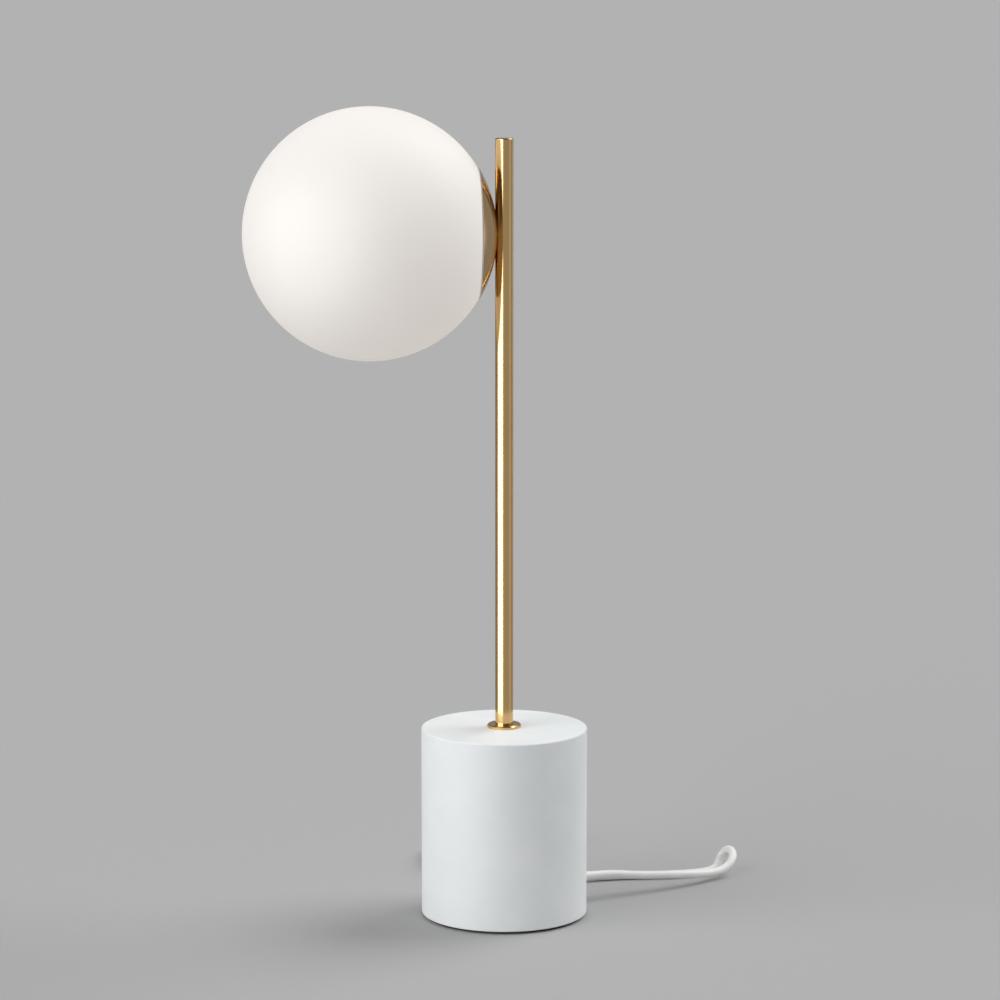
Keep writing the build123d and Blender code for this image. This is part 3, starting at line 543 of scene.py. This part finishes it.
for lead in (leadFront, leadRest):
    putMaterial(lead, finishes["lead"])
print("finishes made:", len(finishes))

# the blown globe, an even shell with a fire-polished mouth
globeSettings = {
    "centre": (-0.0958, 0, 0.4967),
    "radius": 0.09,
    "wall": 0.003,
    "mouthDistance": 0.077,
    "mouthRound": 0.0006,
    "mouthSegments": 3,
    "mouthSharpAngle": 40,
    "smoothAngle": 45,
    "segments": 192,
    "rings": 96,
}


def makeGlobe(settings):
    deselectAll()
    bpy.ops.mesh.primitive_uv_sphere_add(
        segments=settings["segments"],
        ring_count=settings["rings"],
        radius=settings["radius"],
        location=settings["centre"],
        rotation=(0, math.pi / 2, 0),
    )
    globe = addedPiece("glassGlobe")
    settle(globe)
    mouthX = settings["centre"][0] + settings["mouthDistance"]
    bpy.ops.object.mode_set(mode="EDIT")
    bpy.ops.mesh.select_all(action="SELECT")
    bpy.ops.mesh.bisect(
        plane_co=(mouthX, 0, 0), plane_no=(1, 0, 0), clear_outer=True
    )
    bpy.ops.object.mode_set(mode="OBJECT")
    thicken(globe, settings["wall"], -1)
    roundEdges(
        globe,
        settings["mouthRound"],
        settings["mouthSegments"],
        settings["mouthSharpAngle"],
    )
    applyAll(globe)
    bpy.ops.object.shade_smooth_by_angle(angle=math.radians(settings["smoothAngle"]))
    putMaterial(globe, finishes["opal_glass"])
    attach(globe, "lamp")
    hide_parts("glass_globe")


makeGlobe(globeSettings)
print("globe blown")


# small moulded details on the grommet, the switch, the tie and the plug
detailSettings = {
    "mergeDistance": 0.000001,
    "tolerance": 0.0001,
    "smoothAngle": 35,
    "sleeveSides": 48,
    # how far along its pitch each ring of a rib lies, and how far it rises
    "ribRings": ((0.22, 0), (0.34, 0.7), (0.5, 1), (0.72, 1), (0.86, 0.7), (1, 0)),
    "edgeSegments": 3,
    "sharpAngle": 40,
}


def finishPiece(piece, body, slot, smoothAngle=detailSettings["smoothAngle"]):
    applyAll(piece)
    settle(piece)
    bpy.ops.object.mode_set(mode="EDIT")
    bpy.ops.mesh.select_all(action="SELECT")
    bpy.ops.mesh.remove_doubles(threshold=detailSettings["mergeDistance"])
    bpy.ops.mesh.normals_make_consistent(inside=False)
    bpy.ops.object.mode_set(mode="OBJECT")
    bpy.ops.object.shade_smooth_by_angle(angle=math.radians(smoothAngle))
    putMaterial(piece, finishes[slot])
    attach(piece, body)


def makeRibbedSleeve(name, start, direction, settings):
    # a disc drawn out along the lead, ring by ring, with a rounded rib at each step
    way = Vector(direction).normalized()
    deselectAll()
    bpy.ops.mesh.primitive_circle_add(
        vertices=detailSettings["sleeveSides"],
        radius=settings["rootRadius"],
        fill_type="NGON",
        location=start,
        rotation=way.to_track_quat("Z", "Y").to_euler(),
    )
    sleeve = addedPiece(name)
    pitch = settings["length"] / settings["ribs"]
    taper = settings["tipRadius"] - settings["rootRadius"]
    lastFar, lastRadius = 0, settings["rootRadius"]
    bpy.ops.object.mode_set(mode="EDIT")
    bpy.ops.mesh.select_all(action="SELECT")
    for number in range(settings["ribs"]):
        for share, rise in detailSettings["ribRings"]:
            far = (number + share) * pitch
            radius = settings["rootRadius"] + taper * far / settings["length"]
            radius += rise * settings["ribHeight"]
            bpy.ops.mesh.extrude_region_move(
                TRANSFORM_OT_translate={"value": way * (far - lastFar)}
            )
            bpy.ops.transform.resize(
                value=(radius / lastRadius,) * 3,
                center_override=Vector(start) + way * far,
            )
            lastFar, lastRadius = far, radius
    bpy.ops.object.mode_set(mode="OBJECT")
    return sleeve


def makeBlock(name, size, place, turn, rounding):
    deselectAll()
    bpy.ops.mesh.primitive_cube_add(size=1, location=place, rotation=turn, scale=size)
    block = addedPiece(name)
    settle(block)
    roundEdges(
        block, rounding, detailSettings["edgeSegments"], detailSettings["sharpAngle"]
    )
    applyAll(block)
    return block


grommetSettings = {
    "rootRadius": 0.0049,
    "tipRadius": 0.0042,
    "length": 0.0066,
    "ribs": 3,
    "ribHeight": 0.0004,
    "setBack": 0.0072,
}
leadExit = Vector(leadFrontPoints[0])
leadWay = Vector((leadExit.x, leadExit.y, 0)).normalized()
grommetRibs = makeRibbedSleeve(
    "grommetRibs",
    leadExit - leadWay * grommetSettings["setBack"],
    leadWay,
    grommetSettings,
)
finishPiece(grommetRibs, "lamp", "grommet")

switchSettings = {
    "collar": {
        "rootRadius": 0.0047,
        "tipRadius": 0.0037,
        "length": 0.0062,
        "ribs": 3,
        "ribHeight": 0.00035,
    },
    "collarSink": 0.0004,
    "middle": (0.023, 0.0825),
    "roof": 0.016,
    "frameSize": (0.0206, 0.0132),
    "frameWidth": 0.0017,
    "frameHeight": 0.0005,
    "frameEdge": 0.0002,
    "pivotHeight": 0.0124,
    "tilt": 8.0,
    "markReach": 0.0046,
    "markHeight": 0.00482,
    "faceSlope": 8.85,
    "ringRadii": (0.0015, 0.0011),
    "ringSides": 40,
    "barSize": (0.0005, 0.0028, 0.0006),
    "barEdge": 0.00008,
    "markThickness": 0.0006,
}


def makeSwitchCollars(settings):
    sink = settings["collarSink"]
    ends = ((leadFrontPoints[-1], 1), (leadLinkPoints[0], -1))
    collars = [
        makeRibbedSleeve(
            "switchCollar",
            Vector(end) - Vector((side * sink, 0, 0)),
            (side, 0, 0),
            settings["collar"],
        )
        for end, side in ends
    ]
    finishPiece(joinPieces("switchCollars", collars), "lamp", "switch_plastic")


def makeRockerFrame(settings):
    deselectAll()
    x, y = settings["middle"]
    bpy.ops.mesh.primitive_plane_add(size=1, location=(x, y, settings["roof"]))
    rim = addedPiece("rockerFrame")
    rim.scale = (*settings["frameSize"], 1)
    settle(rim)
    bpy.ops.object.mode_set(mode="EDIT")
    bpy.ops.mesh.select_all(action="SELECT")
    bpy.ops.mesh.inset(thickness=settings["frameWidth"], depth=0)
    bpy.ops.mesh.delete(type="ONLY_FACE")
    bpy.ops.object.mode_set(mode="OBJECT")
    thicken(rim, settings["frameHeight"] * 2, 0)
    roundEdges(
        rim,
        settings["frameEdge"],
        detailSettings["edgeSegments"],
        detailSettings["sharpAngle"],
    )
    finishPiece(rim, "lamp", "switch_plastic")


def makeRockerMarks(settings):
    # a bar and a ring, the common marks for on and off, one at each end of the rocker
    tilt = math.radians(settings["tilt"])
    slope = math.radians(settings["faceSlope"])
    x, y = settings["middle"]
    marks = []
    for side in (-1, 1):
        along, up = side * settings["markReach"], settings["markHeight"]
        place = (
            x + along * math.cos(tilt) - up * math.sin(tilt),
            y,
            settings["pivotHeight"] + along * math.sin(tilt) + up * math.cos(tilt),
        )
        turn = (0, -(tilt + side * slope), 0)
        if side < 0:
            bar = makeBlock(
                "onMark", settings["barSize"], place, turn, settings["barEdge"]
            )
            marks.append(bar)
            continue
        outer, inner = settings["ringRadii"]
        deselectAll()
        bpy.ops.mesh.primitive_circle_add(
            vertices=settings["ringSides"],
            radius=outer,
            location=place,
            rotation=turn,
        )
        ring = addedPiece("offMark")
        bpy.ops.object.mode_set(mode="EDIT")
        bpy.ops.mesh.select_all(action="SELECT")
        bpy.ops.mesh.extrude_region_move(TRANSFORM_OT_translate={"value": (0, 0, 0)})
        bpy.ops.transform.resize(value=(inner / outer,) * 3, center_override=place)
        bpy.ops.object.mode_set(mode="OBJECT")
        thicken(ring, settings["markThickness"], 0)
        applyAll(ring)
        marks.append(ring)
    finishPiece(joinPieces("rockerMarks", marks), "rocker", "rocker_plastic")


rockerSettings = {
    "size": (0.0154, 0.009),
    "below": 0.002,
    "endHeight": 0.0053,
    "middleHeight": 0.0041,
    "edge": 0.00035,
    "pinRadius": 0.0012,
    "pinSpan": 0.0138,
    "pinSides": 32,
    "smoothAngle": 20,
}


def makeRocker(settings, switch):
    # built level on its pivot, dipped in the middle, then tilted and set in the switch
    length, width = settings["size"]
    tall = settings["endHeight"] + settings["below"]
    deselectAll()
    bpy.ops.mesh.primitive_cube_add(
        size=1,
        location=(0, 0, settings["endHeight"] - tall / 2),
        scale=(length, width, tall),
    )
    rocker = addedPiece("rockerKey")
    settle(rocker)
    bpy.ops.object.mode_set(mode="EDIT")
    bpy.ops.mesh.select_all(action="SELECT")
    bpy.ops.mesh.bisect(plane_co=(0, 0, 0), plane_no=(1, 0, 0))
    bpy.ops.mesh.select_mode(type="VERT")
    bpy.ops.mesh.select_all(action="DESELECT")
    bpy.ops.object.mode_set(mode="OBJECT")
    for corner in rocker.data.vertices:
        atMiddle = abs(corner.co.x) < detailSettings["tolerance"]
        corner.select = atMiddle and corner.co.z > 0
    bpy.ops.object.mode_set(mode="EDIT")
    dip = settings["middleHeight"] - settings["endHeight"]
    bpy.ops.transform.translate(value=(0, 0, dip))
    bpy.ops.object.mode_set(mode="OBJECT")
    roundEdges(
        rocker,
        settings["edge"],
        detailSettings["edgeSegments"],
        detailSettings["sharpAngle"],
    )
    applyAll(rocker)
    deselectAll()
    bpy.ops.mesh.primitive_cylinder_add(
        vertices=settings["pinSides"],
        radius=settings["pinRadius"],
        depth=settings["pinSpan"],
        rotation=(math.pi / 2, 0, 0),
    )
    pin = addedPiece("rockerPin")
    settle(pin)
    rocker = joinPieces("rockerKey", [rocker, pin])
    rocker.rotation_euler = (0, -math.radians(switch["tilt"]), 0)
    rocker.location = (*switch["middle"], switch["pivotHeight"])
    finishPiece(rocker, "rocker", "rocker_plastic", settings["smoothAngle"])
    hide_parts("switch_rocker")


makeSwitchCollars(switchSettings)
makeRockerFrame(switchSettings)
makeRocker(rockerSettings, switchSettings)
makeRockerMarks(switchSettings)

tieSettings = {
    "size": (0.0125, 0.0098, 0.0009),
    "middle": (0.0325, 0.142, 0.0149),
    "cornerRadius": 0.003,
    "cornerSegments": 6,
    "edge": 0.00025,
    "edgeSegments": 2,
    "sharpAngle": 50,
}


def makeTieEnd(settings):
    deselectAll()
    bpy.ops.mesh.primitive_cube_add(
        size=1, location=settings["middle"], scale=settings["size"]
    )
    end = addedPiece("tieEnd")
    settle(end)
    bpy.ops.object.mode_set(mode="EDIT")
    bpy.ops.mesh.select_mode(type="EDGE")
    bpy.ops.mesh.select_all(action="DESELECT")
    bpy.ops.object.mode_set(mode="OBJECT")
    for edge in end.data.edges:
        # only the upright edges are rounded to corners
        low, high = (end.data.vertices[number].co for number in edge.vertices)
        edge.select = abs(low.z - high.z) > detailSettings["tolerance"]
    bpy.ops.object.mode_set(mode="EDIT")
    bpy.ops.mesh.bevel(
        offset=settings["cornerRadius"],
        segments=settings["cornerSegments"],
        affect="EDGES",
    )
    bpy.ops.object.mode_set(mode="OBJECT")
    roundEdges(end, settings["edge"], settings["edgeSegments"], settings["sharpAngle"])
    finishPiece(end, "lamp", "strap")


makeTieEnd(tieSettings)

plugSettings = {
    "tail": {
        "rootRadius": 0.00515,
        "tipRadius": 0.0037,
        "length": 0.0185,
        "ribs": 6,
        "ribHeight": 0.0005,
    },
    "tailRoot": (0.0215, 0.2075, 0.007),
    "ribSize": (0.0012, 0.0012, 0.0094),
    "ribEdge": 0.0004,
    "ribs": 5,
    "ribsFrom": 0.0252,
    "ribPitch": 0.0026,
    "sideAt": (0.022, 0.012),
    "sideSlope": 5.5 / 17,
}


def makePlugDetails(settings):
    tail = makeRibbedSleeve(
        "plugTail", settings["tailRoot"], (-1, 0, 0), settings["tail"]
    )
    finishPiece(tail, "lamp", "plug_plastic")
    backX, backHalf = settings["sideAt"]
    turn = math.atan(settings["sideSlope"])
    middleY, middleZ = settings["tailRoot"][1:]
    ribs = []
    for side in (-1, 1):
        places = []
        for number in range(settings["ribs"]):
            x = settings["ribsFrom"] + number * settings["ribPitch"]
            reach = backHalf + (x - backX) * settings["sideSlope"]
            places.append((x, middleY + side * reach, middleZ))
        # one rib is made on each side, and the others are its copies
        first = makeBlock(
            "plugRib",
            settings["ribSize"],
            places[0],
            (0, 0, side * turn),
            settings["ribEdge"],
        )
        ribs.append(first)
        for place in places[1:]:
            rib = first.copy()
            rib.data = first.data.copy()
            bpy.context.scene.collection.objects.link(rib)
            rib.location = [end - start for end, start in zip(place, places[0])]
            ribs.append(rib)
    for rib in ribs:
        settle(rib)
    finishPiece(joinPieces("plugGrips", ribs), "lamp", "plug_plastic")


makePlugDetails(plugSettings)
print("switch, tie and plug detailed")

# floor, world and lights
floorSettings = {
    "size": 160.0,
    "tone": (0.425, 0.425, 0.425),
    "roughness": 0.9,
    "specular": 0.0,
}


def makeFloor(settings):
    deselectAll()
    bpy.ops.mesh.primitive_plane_add(size=settings["size"], location=(0, 0, 0))
    floor = addedPiece("studioFloor")
    material, nodes = newMaterial("studioPaper")[:2]
    shader = nodes["Principled BSDF"]
    shader.inputs["Base Color"].default_value = (*settings["tone"], 1)
    shader.inputs["Roughness"].default_value = settings["roughness"]
    shader.inputs["Specular IOR Level"].default_value = settings["specular"]
    putMaterial(floor, material)


makeFloor(floorSettings)

worldSettings = {
    "ambient": (0.45, 0.45, 0.455),
    "background": (0.44, 0.44, 0.44),
    "mirrored": (0.14, 0.14, 0.145),
}


def makeWorld(settings):
    world = bpy.data.worlds.new("studioWorld")
    bpy.context.scene.world = world
    world.use_nodes = True
    nodes, links = world.node_tree.nodes, world.node_tree.links
    nodes.clear()
    path = nodes.new("ShaderNodeLightPath")
    out = nodes.new("ShaderNodeOutputWorld")
    # the ambient light, over it what polished metal mirrors, and over that what is seen
    last = None
    for tone, ray in (
        ("ambient", None),
        ("mirrored", "Is Glossy Ray"),
        ("background", "Is Transmission Ray"),
        ("background", "Is Camera Ray"),
    ):
        sky = addNode(nodes, "ShaderNodeBackground", {"Color": (*settings[tone], 1)})
        if last is None:
            last = sky
            continue
        mix = nodes.new("ShaderNodeMixShader")
        links.new(path.outputs[ray], mix.inputs[0])
        links.new(last.outputs[0], mix.inputs[1])
        links.new(sky.outputs[0], mix.inputs[2])
        last = mix
    links.new(last.outputs[0], out.inputs["Surface"])


makeWorld(worldSettings)

# azimuths are counted from the camera, towards its right
lightSettings = {
    "key": {"azimuth": 118, "elevation": 44, "strength": 1.76, "width": 46},
    "fill": {"azimuth": -58, "elevation": 22, "strength": 1.7, "width": 60},
}
lightDistance = 3  # where it stands doesn't change a sun's light


def awayFrom(azimuth, elevation):
    cameraAngle = math.atan2(
        cameraSettings["location"][1], cameraSettings["location"][0]
    )
    angle = cameraAngle + math.radians(azimuth)
    level = math.cos(math.radians(elevation))
    return Vector(
        (
            level * math.cos(angle),
            level * math.sin(angle),
            math.sin(math.radians(elevation)),
        )
    )


def makeSoftLight(name, settings):
    direction = awayFrom(settings["azimuth"], settings["elevation"])
    bpy.ops.object.light_add(type="SUN", location=direction * lightDistance)
    light = bpy.context.object
    light.name = name
    light.rotation_mode = "QUATERNION"
    light.rotation_quaternion = direction.to_track_quat("Z", "Y")
    light.data.energy = settings["strength"]
    light.data.angle = math.radians(settings["width"])


for lightName, lightValues in lightSettings.items():
    makeSoftLight(lightName + "Light", lightValues)

# upright cards round the lamp, which only mirroring surfaces see
cardSettings = {
    "brightLeft": {"from": -84, "to": -17, "tone": 4.6, "distance": 0.55},
    "dimRight": {"from": 69, "to": 91, "tone": 0.62, "distance": 0.56},
    "glowBehind": {"from": 119, "to": 127, "tone": 1.1, "distance": 0.58},
    "darkBehind": {"from": 99, "to": 262, "tone": 0.30, "distance": 0.6},
}
cardShape = {"foot": 0.001, "height": 0.8, "facets": 360}


def makeCard(name, settings, shape):
    deselectAll()
    bpy.ops.mesh.primitive_circle_add(
        vertices=shape["facets"],
        radius=settings["distance"],
        location=(0, 0, shape["foot"]),
    )
    card = addedPiece(name + "Card")
    bpy.ops.object.mode_set(mode="EDIT")
    bpy.ops.mesh.select_all(action="SELECT")
    bpy.ops.mesh.extrude_region_move(
        TRANSFORM_OT_translate={"value": (0, 0, shape["height"])}
    )
    bpy.ops.mesh.select_all(action="DESELECT")
    bpy.ops.object.mode_set(mode="OBJECT")
    # of the whole ring, only the card's own sector stays
    middle = awayFrom((settings["from"] + settings["to"]) / 2, 0)
    reach = math.cos(math.radians((settings["to"] - settings["from"]) / 2))
    for face in card.data.polygons:
        outwards = Vector((face.center.x, face.center.y, 0)).normalized()
        face.select = outwards.dot(middle) < reach
    bpy.ops.object.mode_set(mode="EDIT")
    bpy.ops.mesh.delete(type="FACE")
    bpy.ops.object.mode_set(mode="OBJECT")
    material, nodes, links = newMaterial(name + "Paper")
    nodes.clear()
    glow = addNode(nodes, "ShaderNodeEmission", {"Strength": settings["tone"]})
    out = addNode(nodes, "ShaderNodeOutputMaterial")
    links.new(glow.outputs[0], out.inputs["Surface"])
    putMaterial(card, material)
    card.visible_camera = False
    card.visible_diffuse = False
    card.visible_shadow = False
    card.visible_transmission = False


for cardName, cardValues in cardSettings.items():
    makeCard(cardName, cardValues, cardShape)
print("lights set")
